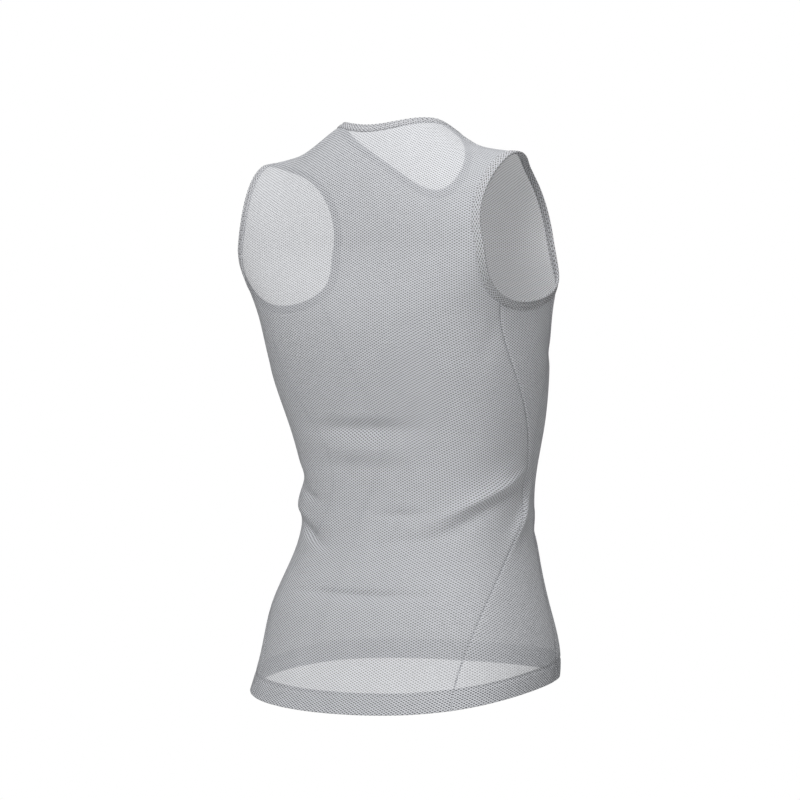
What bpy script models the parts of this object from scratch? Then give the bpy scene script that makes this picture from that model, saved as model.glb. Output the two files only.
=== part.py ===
"""Sleeveless base layer of white micro-mesh, filled out as it is worn, with no wearer inside.

Frame: +Z up, the front faces -Y and the wearer's left is +X. The origin lies midway between the
two high shoulder points, where the shoulder seams meet the neck binding. Sizes are in metres.

The cloth follows one form, worked out from two parameters:
  angle   round the body, 0 at the centre back, positive towards the wearer's left
  level   up the body, 0 at the blade line; below it a plain height, above it the way up to the
          shoulder ridge along the section that keeps its distance from the middle
Every cut line (hem, seams, armholes, neckline) is a curve in these two parameters. Each panel is
a grid spanned between its edges on the form, with its hem turned up, and then given a wall. Each
binding is a section carried round its opening. Soft folds move all of them out or in.
"""

import math
from collections import namedtuple

import bpy
import numpy as np

# Cloth, seams and edges
CLOTH = 0.0012  # wall of the knitted panels
SEAM_GAP = 0.0003  # left between two pieces that are sewn together
SHOULDER_GAP = 0.0007  # on the ridge, where the two walls lean together
HEM_DEPTH = 0.020  # height of the hem that is turned up inside
HEM_SLIT = 0.0004  # between the wall and its turned-up layer
BINDING_WIDTH = 0.0085
BINDING_THICKNESS = 0.0024

# Body sections, measured down from the high shoulder points; the blade line is the first
Section = namedtuple("Section", "drop half_width half_depth centre_y squareness")
SECTIONS = (
    Section(0.115, 0.1610, 0.0820, 0.010, 0.12),
    Section(0.180, 0.1490, 0.1030, 0.000, 0.07),  # under the arms
    Section(0.240, 0.1465, 0.1040, -0.009, 0.04),  # chest
    Section(0.300, 0.1335, 0.0965, -0.022, 0.04),
    Section(0.360, 0.1210, 0.0895, -0.026, 0.04),  # waist
    Section(0.420, 0.1255, 0.0930, -0.023, 0.04),
    Section(0.480, 0.1455, 0.1050, -0.011, 0.04),
    Section(0.530, 0.1570, 0.1125, -0.010, 0.04),  # hip
    Section(0.580, 0.1610, 0.1160, 0.008, 0.04),  # back hem
)

# Shoulder ridge, from the middle out to past the shoulder tip
Ridge = namedtuple("Ridge", "out height y")
RIDGE = (
    Ridge(0.000, 0.0230, 0.0222),
    Ridge(0.060, 0.0055, 0.0222),
    Ridge(0.078, -0.0060, 0.0222),
    Ridge(0.100, -0.0185, 0.0230),
    Ridge(0.125, -0.0250, 0.0240),
    Ridge(0.168, -0.0315, 0.0252),
)
SHOULDER_RISE = 0.157  # level at the ridge, near the cloth's own length from the blade line
BACK_ROUNDING = 1.14  # 1 is a quarter ellipse from the blade line to the ridge
FRONT_ROUNDING = 1.42  # in the middle; more than 1 leans the chest back towards the ridge
TIP_ROUNDING = 1.13  # on the front at the shoulder tips
TIP_OUT = 0.150

# Side seams: each side panel narrows to the waist and sweeps back towards the hem
Seam = namedtuple("Seam", "drop back_angle front_angle")
SEAMS = (
    Seam(0.150, 71, 112),
    Seam(0.220, 74, 123),
    Seam(0.280, 87, 135),
    Seam(0.340, 98, 134),
    Seam(0.390, 92, 121),
    Seam(0.450, 69, 116),
    Seam(0.500, 52, 112),
    Seam(0.540, 44, 107),
    Seam(0.585, 45, 108),
)

# Armhole's finished edge, from the shoulder tip round the back, under the arm and up the front.
# The share is of the height from the underarm point to the ridge.
Armhole = namedtuple("Armhole", "share angle")
ARMHOLE = (
    Armhole(1.00, 53),
    Armhole(0.80, 48),
    Armhole(0.50, 46.7),
    Armhole(0.18, 58),
    Armhole(0.00, 86),
    Armhole(0.18, 127.5),
    Armhole(0.50, 140.5),
    Armhole(0.80, 141),
    Armhole(0.93, 137),
    Armhole(1.00, 127),
)
UNDERARM_DROP = 0.175

# Neckline and hem. Seen from above the neckline is an ellipse
NECK_HALF_WIDTH = 0.063
NECK_HALF_DEPTH = 0.0575
NECK_CENTRE_Y = -0.002
HEM_DROP = 0.5795
HEM_FRONT_LIFT = 0.033  # the front is shorter than the back
HEM_SIDE_LIFT = 0.006

# Largest folds: soft ridges (positive height) and troughs of the filled-out cloth. Their tilt is
# up towards the wearer's left
Fold = namedtuple("Fold", "angle drop half_length half_width tilt height")
FOLDS = (
    Fold(-2, 0.295, 0.058, 0.010, 0, -0.0028),  # across the back, over the waist
    Fold(3, 0.331, 0.042, 0.011, -2, -0.0024),
    Fold(-56, 0.372, 0.075, 0.011, -25, 0.0034),  # from the right waist down to the middle
    Fold(-50, 0.394, 0.070, 0.010, -25, -0.0036),
    Fold(62, 0.377, 0.050, 0.017, 8, 0.0060),  # bulge over the left waist
    Fold(40, 0.402, 0.042, 0.010, 14, -0.0034),
    Fold(58, 0.350, 0.035, 0.011, 4, -0.0026),
    Fold(-93, 0.396, 0.034, 0.010, -40, 0.0030),  # over the right side panel
    Fold(0, 0.463, 0.050, 0.011, 0, -0.0018),  # across the lower back
    Fold(186, 0.318, 0.060, 0.011, 4, -0.0028),  # across the front, over the waist
    Fold(150, 0.352, 0.050, 0.011, 20, -0.0030),
    Fold(146, 0.374, 0.050, 0.012, 20, 0.0030),
    Fold(222, 0.386, 0.055, 0.011, -24, -0.0032),
    Fold(176, 0.448, 0.055, 0.011, -3, -0.0018),
)
FOLD_RADIUS = 0.13  # turns an angle into a distance round the body

# Grid of the panels
SHOULDER_ROWS = 5
NECK_COLUMNS = 20
SIDE_COLUMNS = 6
SEAM_ROWS = 30
ARMHOLE_ROWS = 10
HEM_ROWS = 2
FOLD_STEPS = 4
INSET_STEPS = 4
CURVE_POINTS = 400
WAIST_CROWDING = 0.10  # draws the rows together at the waist, where the folds are
SAG_ROUNDING = 1.5  # more than 1 keeps the rows over the underarm off the armhole's edge
NECK_LIKENESS = 4  # the higher, the nearer to the neck the rows take its shape

COLLECTION = "sleeveless_base_layer"
CLOTH_COLOUR = (0.70, 0.70, 0.72, 1)
BINDING_COLOUR = (0.60, 0.60, 0.62, 1)


def spline(knots, values, at, flat_start=False):
    """Cubic spline through the values; its ends are natural, or the first one is level."""
    knots, values = np.array(knots, float), np.array(values, float)
    step = np.diff(knots)
    slope = np.diff(values) / step
    count = len(knots)
    system, right = np.eye(count), np.zeros(count)
    for i in range(1, count - 1):
        system[i, i - 1 : i + 2] = step[i - 1], 2 * (step[i - 1] + step[i]), step[i]
        right[i] = 6 * (slope[i] - slope[i - 1])
    if flat_start:
        system[0, :2] = 2 * step[0], step[0]
        right[0] = 6 * slope[0]
    bend = np.linalg.solve(system, right)
    i = np.clip(np.searchsorted(knots, at) - 1, 0, count - 2)
    near, far = at - knots[i], knots[i + 1] - at
    return (
        (bend[i] * far**3 + bend[i + 1] * near**3) / (6 * step[i])
        + (values[i] / step[i] - bend[i] * step[i] / 6) * far
        + (values[i + 1] / step[i] - bend[i + 1] * step[i] / 6) * near
    )


def column(table, name):
    return [getattr(row, name) for row in table]


BLADE_DROP = SECTIONS[0].drop


def ring(angle, drop):
    """The body section at a drop: an ellipse whose corners are filled out by its squareness."""
    drops = column(SECTIONS, "drop")
    half_width, half_depth, centre_y, square = (
        spline(drops, column(SECTIONS, name), drop, flat_start=True)
        for name in ("half_width", "half_depth", "centre_y", "squareness")
    )
    x = half_width * (np.sin(angle) + square * np.sin(3 * angle)) / (1 - square)
    y = half_depth * (np.cos(angle) - square * np.cos(3 * angle)) / (1 - square)
    return x, centre_y + y


def ridge(x):
    """Height and y of the shoulder ridge at a distance from the middle."""
    out = column(RIDGE, "out")
    height = spline(out, column(RIDGE, "height"), np.abs(x), flat_start=True)
    return height, np.interp(np.abs(x), out, column(RIDGE, "y"))


def rounding(angle, x):
    """The power of the depth over the blade line; the front's goes over smoothly from the
    middle's to the shoulder tip's."""
    share = np.clip(np.abs(x) / TIP_OUT, 0, 1)
    front = FRONT_ROUNDING + (TIP_ROUNDING - FRONT_ROUNDING) * share**2 * (3 - 2 * share)
    return np.where(np.cos(angle) > 0, BACK_ROUNDING, front)


def form(angle, level):
    """Points on the form. Over the blade line a section at constant x curves up to the ridge:
    its height follows a sine, and its depth a power of the cosine."""
    angle, level = np.broadcast_arrays(np.asarray(angle, float), level)
    x, y = ring(angle, BLADE_DROP - np.minimum(level, 0))
    rise = np.clip(level / SHOULDER_RISE, 0, 1) * math.pi / 2
    ridge_z, ridge_y = ridge(x)
    z = np.minimum(level, 0) - BLADE_DROP + np.sin(rise) * (ridge_z + BLADE_DROP)
    over_ridge = ridge_y + (y - ridge_y) * np.abs(np.cos(rise)) ** rounding(angle, x)
    return np.stack([x, np.where(level > 0, over_ridge, y), z], -1)


def relief(angle, height):
    """How far the folds move the cloth outwards: each is a bell across it and along it."""
    total = np.zeros_like(height)
    for fold in FOLDS:
        turn = (angle - math.radians(fold.angle) + math.pi) % (2 * math.pi) - math.pi
        along, across = FOLD_RADIUS * turn, height + fold.drop
        tilt = math.radians(fold.tilt)
        u = (along * math.cos(tilt) + across * math.sin(tilt)) / fold.half_length
        v = (across * math.cos(tilt) - along * math.sin(tilt)) / fold.half_width
        total += fold.height * np.exp(-(u**2) - v**2)
    return total


def slopes(angle, level, step=0.004):
    """How the form's points move for a unit of angle and for a unit of level."""
    low, high = level - step, np.minimum(level + step, SHOULDER_RISE)
    by_angle = (form(angle + step, level) - form(angle - step, level)) / (2 * step)
    by_level = (form(angle, high) - form(angle, low)) / (high - low)[..., None]
    return by_angle, by_level


def unit(vectors):
    return vectors / np.linalg.norm(vectors, axis=-1, keepdims=True)


def cloth(angle, level, depth=0.0):
    """Points of the cloth and its outward normals, at a depth under its outer face."""
    by_angle, by_level = slopes(angle, level)
    normal = unit(np.cross(by_level, by_angle))
    points = form(angle, level)
    out = relief(angle, points[..., 2]) - depth
    return points + normal * out[..., None], normal


def angle_at(x):
    """The angle on the back at which the blade-line section reaches a distance from the middle."""
    angles = np.linspace(-math.pi / 2, math.pi / 2, CURVE_POINTS)
    return np.interp(x, ring(angles, BLADE_DROP)[0], angles)


def level_at(angle, z):
    """The level at which the form reaches a height."""
    ridge_z, _ = ridge(ring(angle, BLADE_DROP)[0])
    share = np.clip((z + BLADE_DROP) / (ridge_z + BLADE_DROP), 0, 1)
    return np.where(z < -BLADE_DROP, z + BLADE_DROP, np.arcsin(share) * 2 / math.pi * SHOULDER_RISE)


def level_away(angle, distance):
    """The level over the blade line at which the form is a distance in front of or behind the
    ridge."""
    x, y = ring(angle, BLADE_DROP)
    share = distance / np.abs(y - ridge(x)[1])
    rise = np.arccos(share ** (1 / rounding(angle, x)))
    return SHOULDER_RISE * rise * 2 / math.pi


def from_above(x, y, on_back):
    """Angle and level of the form's points over the blade line that lie at x and y."""
    angle = angle_at(x)
    angle = np.where(on_back, angle, math.pi - angle)
    return np.stack([angle, level_away(angle, np.abs(y - ridge(x)[1]))])


def inset(curve, distance):
    """The curve moved over the cloth, to the left of its course as seen from outside."""
    angle, level = curve
    along = np.gradient(form(angle, level), axis=0)
    by_angle, by_level = slopes(angle, level)
    sideways = unit(np.cross(np.cross(by_level, by_angle), along)) * distance / INSET_STEPS
    for _ in range(INSET_STEPS):
        basis = np.stack(slopes(angle, level), -1)
        step = np.einsum("nij,nj->ni", np.linalg.pinv(basis, rcond=0.05), sideways)
        angle, level = angle + step[:, 0], np.minimum(level + step[:, 1], SHOULDER_RISE)
    return np.stack([angle, level])


def read(curve, at):
    """The curve at fractions of its course."""
    course = np.linspace(0, 1, curve.shape[1])
    return np.stack([np.interp(at, course, row) for row in curve])


def crossing(first, second):
    """The fractions of two curves at which they cross."""
    a, b = first.T[:-1, None], second.T[None, :-1]
    da, db = np.diff(first).T[:, None], np.diff(second).T[None]
    area = da[..., 0] * db[..., 1] - da[..., 1] * db[..., 0]
    gap = b - a
    with np.errstate(divide="ignore", invalid="ignore"):
        on_a = (gap[..., 0] * db[..., 1] - gap[..., 1] * db[..., 0]) / area
        on_b = (gap[..., 0] * da[..., 1] - gap[..., 1] * da[..., 0]) / area
    i, j = np.argwhere((on_a >= 0) & (on_a < 1) & (on_b >= 0) & (on_b < 1))[0]
    return (i + on_a[i, j]) / (first.shape[1] - 1), (j + on_b[i, j]) / (second.shape[1] - 1)


# Cut lines, on the wearer's left where they come in pairs


def hem_level(angle):
    """The level of the hem's sheet, just over its fold."""
    front = (1 - np.cos(angle)) / 2
    side = (1 - np.cos(2 * angle)) / 2
    height = HEM_FRONT_LIFT * front + HEM_SIDE_LIFT * side - HEM_DROP
    return height + BLADE_DROP + CLOTH + HEM_SLIT / 2


def seam_line(side):
    """A side seam, upwards past the hem and the armhole; side is back_angle or front_angle."""
    drop = np.linspace(SEAMS[-1].drop, SEAMS[0].drop, CURVE_POINTS)
    angle = np.radians(spline(column(SEAMS, "drop"), column(SEAMS, side), drop))
    return np.stack([angle, BLADE_DROP - drop])


def armhole_line():
    """The armhole's finished edge, with the cloth on the left of its course."""
    course = np.linspace(0, 1, CURVE_POINTS)
    knots = np.linspace(0, 1, len(ARMHOLE))
    angle = np.radians(spline(knots, column(ARMHOLE, "angle"), course))
    share = np.minimum(spline(knots, column(ARMHOLE, "share"), course), 1)
    ridge_z, _ = ridge(ring(angle, BLADE_DROP)[0])
    return np.stack([angle, level_at(angle, share * (ridge_z + UNDERARM_DROP) - UNDERARM_DROP)])


def armhole_rim():
    """The panels' edge round the armhole, a seam's gap outside the binding."""
    return inset(armhole_line(), BINDING_WIDTH + SEAM_GAP)


def neck_loop(distance):
    """The neckline's finished edge, or a line outside it by a distance over the cloth: x and y
    for each turn from 0 at the centre back, over the wearer's left shoulder and round."""
    turn = np.linspace(0, 2 * math.pi, 2 * CURVE_POINTS, endpoint=False)
    x = NECK_HALF_WIDTH * np.sin(turn)
    y = NECK_CENTRE_Y + NECK_HALF_DEPTH * np.cos(turn)
    line = from_above(x, y, y > ridge(x)[1])
    points = form(*line)
    along = np.roll(points, -1, axis=0) - np.roll(points, 1, axis=0)
    by_angle, by_level = slopes(*line)
    outwards = unit(np.cross(np.cross(by_level, by_angle), along)) * distance
    return turn, x + outwards[:, 0], y + outwards[:, 1]


def neck_line(turns, distance, on_back=None):
    """The line beside the neckline at some turns; on_back says which side of the ridge it is."""
    turn, x, y = neck_loop(distance)
    x, y = (np.interp(turns, turn, row, period=2 * math.pi) for row in (x, y))
    return from_above(x, y, y > ridge(x)[1] if on_back is None else on_back)


def neck_stations():
    """Turns of the back's neck edge, from shoulder seam to shoulder seam, and of the front's."""
    turn, x, y = neck_loop(BINDING_WIDTH + SEAM_GAP)
    half = slice(0, CURVE_POINTS)
    seam = np.interp(0, (ridge(x)[1] - y)[half], turn[half])
    back = np.linspace(-seam, seam, NECK_COLUMNS + 1)
    return back, np.linspace(seam, 2 * math.pi - seam, NECK_COLUMNS + 1)


def mirrored(curve):
    """The same line on the wearer's right, turned round so that the cloth keeps its side."""
    return np.stack([-curve[0], curve[1]])[:, ::-1]


# Panels and bindings


def seam_edge(side, shift):
    """A panel's edge along a side seam, from the hem's fold to the armhole: its points, and the
    armhole's fraction at its upper end."""
    edge = inset(seam_line(side), shift)
    over_hem = edge[1] - hem_level(edge[0])
    low = np.interp(0, over_hem, edge[1])
    at_rim, at_edge = crossing(armhole_rim(), edge)
    high = read(edge, [at_edge])[1, 0]
    rows = np.linspace(0, 1, SEAM_ROWS + 1)[1:]
    rows = rows + WAIST_CROWDING * np.sin(2 * math.pi * rows)
    hem_rows = low + np.linspace(0, HEM_DEPTH, HEM_ROWS + 1)
    levels = np.concatenate([hem_rows, hem_rows[-1] + rows * (high - hem_rows[-1])])
    return np.stack([np.interp(levels, edge[1], edge[0]), levels]), at_rim


def armhole_stations():
    """Fractions of the armhole at the shoulder tip, down to the side panel, past it, and up again."""
    rim = armhole_rim()
    back, front = (crossing(rim, seam_line(side))[0] for side in ("back_angle", "front_angle"))
    return (
        np.linspace(0, back, ARMHOLE_ROWS + 1),
        np.linspace(back, front, SIDE_COLUMNS + 1),
        np.linspace(front, 1, ARMHOLE_ROWS + 1),
    )


def spanned(left, right, top):
    """A grid between two sides, the hem and a top edge: each point is the mean of the two edges
    across it in both directions, less the mean of the four corners."""
    bottom = left[0, 0] + (right[0, 0] - left[0, 0]) * share_along(top)
    bottom = np.stack([bottom, hem_level(bottom)])
    top[:, 0], top[:, -1] = left[:, -1], right[:, -1]
    u = share_along(top)[None, None]
    v = ((share_along(left) + share_along(right)) / 2)[None, :, None]
    between = (1 - v) * bottom[:, None] + v * top[:, None]
    between = between + (1 - u) * left[:, :, None] + u * right[:, :, None]
    low = (1 - u) * bottom[:, :1, None] + u * bottom[:, -1:, None]
    high = (1 - u) * top[:, :1, None] + u * top[:, -1:, None]
    return between - (1 - v) * low - v * high


def share_along(curve):
    points = form(*curve)
    length = np.linalg.norm(np.diff(points, axis=0), axis=-1)
    return np.concatenate([[0], np.cumsum(length)]) / length.sum()


def panel_side(seam, armhole, neck_angle):
    """A body panel's side, up its side seam, its armhole and its shoulder seam to the neck."""
    by_ridge = level_away(armhole[0], SHOULDER_GAP / 2)
    armhole = np.stack([armhole[0], np.minimum(armhole[1], by_ridge)])[:, 1:]
    shoulder = np.linspace(armhole[0, -1], neck_angle, SHOULDER_ROWS + 1)[1:]
    shoulder = np.stack([shoulder, level_away(shoulder, SHOULDER_GAP / 2)])
    return np.concatenate([seam, armhole, shoulder], axis=1)


def body_panel(side, neck):
    """The grid of the back or front, between a side, its mirror image and the neck edge. The rows
    are level up to the underarm. Over it they sag, and the last one is the neck edge. Each point
    lies at a share of the half span that the panel has at the point's own level."""
    rows, across = side.shape[1], np.linspace(-1, 1, neck.shape[1])
    over_arm = ARMHOLE_ROWS + SHOULDER_ROWS
    underarm = rows - over_arm - 1
    centre = np.linspace(side[1, underarm], neck[1].min(), over_arm + 1)[1:]
    centre = np.concatenate([side[1, : underarm + 1], centre])
    neck_sag = (side[1, -1] - neck[1]) / (side[1, -1] - neck[1].min())
    neck_sag[0] = neck_sag[-1] = 0
    share = np.maximum(np.arange(rows) - underarm, 0)[:, None] / over_arm
    sag = (1 - across**2) ** SAG_ROUNDING
    sag = sag + (neck_sag - sag) * share**NECK_LIKENESS
    level = side[1][:, None] + sag * (centre - side[1])[:, None]

    middle = neck[0].mean()
    half_span = np.abs(side[0] - middle)
    outline = side[1, :-SHOULDER_ROWS], half_span[:-SHOULDER_ROWS]
    reach = np.interp(level, *outline)
    part = (half_span / np.interp(side[1], *outline))[:, None] * across
    bend = (neck[0] - middle) / reach[-1] - part[-1]
    bend[0] = bend[-1] = 0
    angle = middle + reach * (part + bend * np.linspace(0, 1, rows)[:, None])

    low, high = side[1, HEM_ROWS], side[1, underarm]
    by_hem = np.clip((high - side[1]) / (high - low), 0, 1)[:, None]
    return np.stack([angle, level + by_hem * (hem_level(angle) - hem_level(angle[:, :1]))])


def with_hem(grid):
    """Points of a panel's middle sheet: its turned-up hem, the fold and the wall above it."""
    wall, normal = cloth(grid[0], grid[1], CLOTH / 2)
    turned = wall[HEM_ROWS::-1] - normal[HEM_ROWS::-1] * (CLOTH + HEM_SLIT)
    radius = (CLOTH + HEM_SLIT) / 2
    down = -unit(wall[1] - wall[0])
    turn = math.pi * (1 - np.arange(1, FOLD_STEPS) / FOLD_STEPS)[:, None, None]
    centre = wall[0] - normal[0] * radius
    bend = centre + radius * (normal[0] * np.cos(turn) + down * np.sin(turn))
    return np.concatenate([turned, bend, wall])


def mesh_object(name, points, faces, material):
    mesh = bpy.data.meshes.new(name)
    mesh.from_pydata(points.reshape(-1, 3).tolist(), [], faces.reshape(-1, 4).tolist())
    mesh.materials.append(material)
    mesh.shade_smooth()
    made = bpy.data.objects.new(name, mesh)
    bpy.data.collections[COLLECTION].objects.link(made)
    return made


def quads(rows, columns):
    """Faces of a grid whose rows go up and whose columns go round with the angle."""
    index = np.arange(rows * columns).reshape(rows, columns)
    return np.stack([index[:-1, :-1], index[1:, :-1], index[1:, 1:], index[:-1, 1:]], -1)


def panel(name, grid, material):
    """A knitted panel: an open sheet with its hem turned up, given the cloth's wall."""
    sheet = with_hem(grid)
    made = mesh_object(name, sheet, quads(*sheet.shape[:2]), material)
    wall = made.modifiers.new("Wall", "SOLIDIFY")
    wall.thickness = CLOTH
    wall.offset = 0
    wall.use_even_offset = True


# The binding's section: share of its width from the panel to the edge, share of half its thickness
BINDING_SECTION = (
    (0.00, 0.70),
    (0.16, 1.00),
    (0.74, 1.00),
    (1.00, 0.45),
    (1.00, -0.45),
    (0.74, -1.00),
    (0.16, -1.00),
    (0.00, -0.70),
)


def binding(name, seam, edge, material):
    """The binding's section carried round an opening, from the panels' side to the finished edge."""
    seam, edge = form(*seam), form(*edge)
    across = edge - seam
    along = np.roll(edge + seam, -1, axis=0) - np.roll(edge + seam, 1, axis=0)
    normal = unit(np.cross(across, along))
    width, thick = np.array(BINDING_SECTION).T[..., None, None]
    middle = seam - normal * CLOTH / 2
    points = middle + across * width + normal * thick * BINDING_THICKNESS / 2
    index = np.arange(points.shape[0] * points.shape[1]).reshape(points.shape[:2])
    beyond = np.roll(index, -1, axis=0)
    faces = np.stack([index, beyond, np.roll(beyond, -1, axis=1), np.roll(index, -1, axis=1)], -1)
    mesh_object(name, points, faces, material)


def knit(name, colour):
    """White polyester mesh: matt, with a faint sheen of the yarn."""
    material = bpy.data.materials.new(name)
    material.use_nodes = True
    shader = material.node_tree.nodes["Principled BSDF"]
    shader.inputs["Base Color"].default_value = colour
    shader.inputs["Roughness"].default_value = 0.8
    shader.inputs["Metallic"].default_value = 0.0
    return material


def clear_scene():
    for old in list(bpy.data.objects):
        bpy.data.objects.remove(old)
    bpy.context.scene.collection.children.link(bpy.data.collections.new(COLLECTION))


def make_panels(mesh_cloth):
    """Back, front and the two side panels, each from its edges along the seams and armholes."""
    half_gap = SEAM_GAP / 2
    rim = armhole_rim()
    down_back, under_arm, up_front = armhole_stations()
    over_back, over_front = neck_stations()

    seam, down_back[-1] = seam_edge("back_angle", -half_gap)
    neck = neck_line(over_back, BINDING_WIDTH + SEAM_GAP, on_back=True)
    side = panel_side(seam, read(rim, down_back[::-1]), neck[0, -1])
    panel("back_panel", body_panel(side, neck), mesh_cloth)

    seam, up_front[0] = seam_edge("front_angle", half_gap)
    neck = neck_line(over_front, BINDING_WIDTH + SEAM_GAP, on_back=False)
    side = panel_side(seam, read(rim, up_front), neck[0, 0])
    panel("front_panel", body_panel(side, neck), mesh_cloth)

    near, under_arm[0] = seam_edge("back_angle", half_gap)
    far, under_arm[-1] = seam_edge("front_angle", -half_gap)
    side = spanned(near, far, read(rim, under_arm))
    panel("side_panel_left", side, mesh_cloth)
    panel("side_panel_right", np.stack([-side[0], side[1]])[..., ::-1], mesh_cloth)


def make_bindings(rib):
    """The neck binding and the two armhole bindings, at the panels' own stations."""
    turns = np.concatenate([over[:-1] for over in neck_stations()])
    binding("neck_binding", neck_line(turns, BINDING_WIDTH), neck_line(turns, 0), rib)

    stations = np.unique(np.concatenate(armhole_stations()))[:-1]
    edge = armhole_line()
    seam = read(inset(edge, BINDING_WIDTH), stations)
    edge = read(edge, stations)
    binding("armhole_binding_left", seam, edge, rib)
    binding("armhole_binding_right", mirrored(seam), mirrored(edge), rib)


def main():
    clear_scene()
    make_panels(knit("Micro-mesh knit", CLOTH_COLOUR))
    make_bindings(knit("Rib binding", BINDING_COLOUR))


main()
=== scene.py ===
"""Looks of the sleeveless base layer: white micro-mesh knit, bound edges, sewing, light and camera.

Every size is in metres in the part's own frame: +Z up, the front faces -Y, the wearer's left is +X,
and the origin lies midway between the two high shoulder points.

The cloth follows the form of its solids, worked out from two parameters:
  angle   round the body, 0 at the centre back, positive towards the wearer's left
  level   up the body, 0 at the blade line; below it a plain height, above it the way up to the
          shoulder ridge along the section that keeps its distance from the middle
Each panel is a thin sheet on that form, with soft creases, its seams drawn in and its hem turned up.
"""

import math
from collections import namedtuple

import bpy
import numpy as np
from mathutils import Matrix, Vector


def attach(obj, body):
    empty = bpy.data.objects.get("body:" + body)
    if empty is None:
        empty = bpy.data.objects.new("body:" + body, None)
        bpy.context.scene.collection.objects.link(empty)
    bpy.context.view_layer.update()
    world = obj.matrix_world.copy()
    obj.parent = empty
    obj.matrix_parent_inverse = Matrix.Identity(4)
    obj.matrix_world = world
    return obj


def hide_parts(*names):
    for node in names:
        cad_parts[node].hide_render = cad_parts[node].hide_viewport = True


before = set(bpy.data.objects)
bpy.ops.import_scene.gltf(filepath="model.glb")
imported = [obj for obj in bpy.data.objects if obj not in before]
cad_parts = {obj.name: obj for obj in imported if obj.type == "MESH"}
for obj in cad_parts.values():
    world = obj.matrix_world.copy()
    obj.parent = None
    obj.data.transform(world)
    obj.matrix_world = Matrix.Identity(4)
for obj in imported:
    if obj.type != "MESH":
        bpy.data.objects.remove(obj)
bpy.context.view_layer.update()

bl_info = {
    "name": "Sleeveless base layer",
    "version": (1, 0, 0),
    "blender": (4, 5, 0),
    "location": "View3D > Sidebar > Base layer",
    "description": "Builds a filled-out mesh base layer with bound neck and armholes",
    "category": "Object",
}

# Form of the garment, as its solids have it

BINDING_WIDTH = 0.0085
BINDING_THICKNESS = 0.0024
HEM_DEPTH = 0.020  # height of the hem that is turned up inside
HEM_FOLD = 0.0016  # the wall and its turned-up layer together

Section = namedtuple("Section", "drop half_width half_depth centre_y squareness")
SECTIONS = (
    Section(0.115, 0.1610, 0.0820, 0.010, 0.12),  # blade line
    Section(0.180, 0.1490, 0.1030, 0.000, 0.07),  # under the arms
    Section(0.240, 0.1465, 0.1040, -0.009, 0.04),  # chest
    Section(0.300, 0.1335, 0.0965, -0.022, 0.04),
    Section(0.360, 0.1210, 0.0895, -0.026, 0.04),  # waist
    Section(0.420, 0.1255, 0.0930, -0.023, 0.04),
    Section(0.480, 0.1455, 0.1050, -0.011, 0.04),
    Section(0.530, 0.1570, 0.1125, -0.010, 0.04),  # hip
    Section(0.580, 0.1610, 0.1160, 0.008, 0.04),  # back hem
)

Ridge = namedtuple("Ridge", "out height y")
RIDGE = (
    Ridge(0.000, 0.0230, 0.0222),
    Ridge(0.060, 0.0055, 0.0222),
    Ridge(0.078, -0.0060, 0.0222),
    Ridge(0.100, -0.0185, 0.0230),
    Ridge(0.125, -0.0250, 0.0240),
    Ridge(0.168, -0.0315, 0.0252),
)
SHOULDER_RISE = 0.157  # level at the ridge
BACK_ROUNDING = 1.14  # 1 is a quarter ellipse from the blade line to the ridge
FRONT_ROUNDING = 1.42  # in the middle; more than 1 leans the chest back towards the ridge
TIP_ROUNDING = 1.13  # on the front at the shoulder tips
TIP_OUT = 0.150  # how far out the shoulder tips are

# Side seams: each side panel narrows to the waist and sweeps back towards the hem
Seam = namedtuple("Seam", "drop back_angle front_angle")
SEAMS = (
    Seam(0.150, 71, 112),
    Seam(0.220, 74, 123),
    Seam(0.280, 87, 135),
    Seam(0.340, 98, 134),
    Seam(0.390, 92, 121),
    Seam(0.450, 69, 116),
    Seam(0.500, 52, 112),
    Seam(0.540, 44, 107),
    Seam(0.585, 45, 108),
)

# The armhole's finished edge; the share is of the height from the underarm point to the ridge
Armhole = namedtuple("Armhole", "share angle")
ARMHOLE = (
    Armhole(1.00, 53),
    Armhole(0.80, 48),
    Armhole(0.50, 46.7),
    Armhole(0.18, 58),
    Armhole(0.00, 86),
    Armhole(0.18, 127.5),
    Armhole(0.50, 140.5),
    Armhole(0.80, 141),
    Armhole(0.93, 137),
    Armhole(1.00, 127),
)
UNDERARM_DROP = 0.175

# Neckline and hem. Seen from above the neckline is an ellipse
NECK_HALF_WIDTH = 0.063
NECK_HALF_DEPTH = 0.0575
NECK_CENTRE_Y = -0.002
HEM_DROP = 0.5795
HEM_FRONT_LIFT = 0.033  # the front is shorter than the back
HEM_SIDE_LIFT = 0.006

# Creases: soft ridges (positive height) and troughs. Their tilt is up towards the wearer's left
Fold = namedtuple("Fold", "angle drop half_length half_width tilt height")
FOLDS = (
    Fold(-2, 0.295, 0.058, 0.010, 0, -0.0028),  # across the back, over the waist
    Fold(3, 0.331, 0.042, 0.011, -2, -0.0024),
    Fold(-56, 0.372, 0.075, 0.011, -25, 0.0034),  # from the right waist down to the middle
    Fold(-50, 0.394, 0.070, 0.010, -25, -0.0036),
    Fold(62, 0.377, 0.050, 0.017, 8, 0.0060),  # bulge over the left waist
    Fold(40, 0.402, 0.042, 0.010, 14, -0.0034),
    Fold(58, 0.350, 0.035, 0.011, 4, -0.0026),
    Fold(-93, 0.396, 0.034, 0.010, -40, 0.0030),  # over the right side panel
    Fold(0, 0.463, 0.050, 0.011, 0, -0.0018),  # across the lower back
    Fold(186, 0.318, 0.060, 0.011, 4, -0.0028),  # across the front, over the waist
    Fold(150, 0.352, 0.050, 0.011, 20, -0.0030),
    Fold(146, 0.374, 0.050, 0.012, 20, 0.0030),
    Fold(222, 0.386, 0.055, 0.011, -24, -0.0032),
    Fold(176, 0.448, 0.055, 0.011, -3, -0.0018),
)
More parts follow.
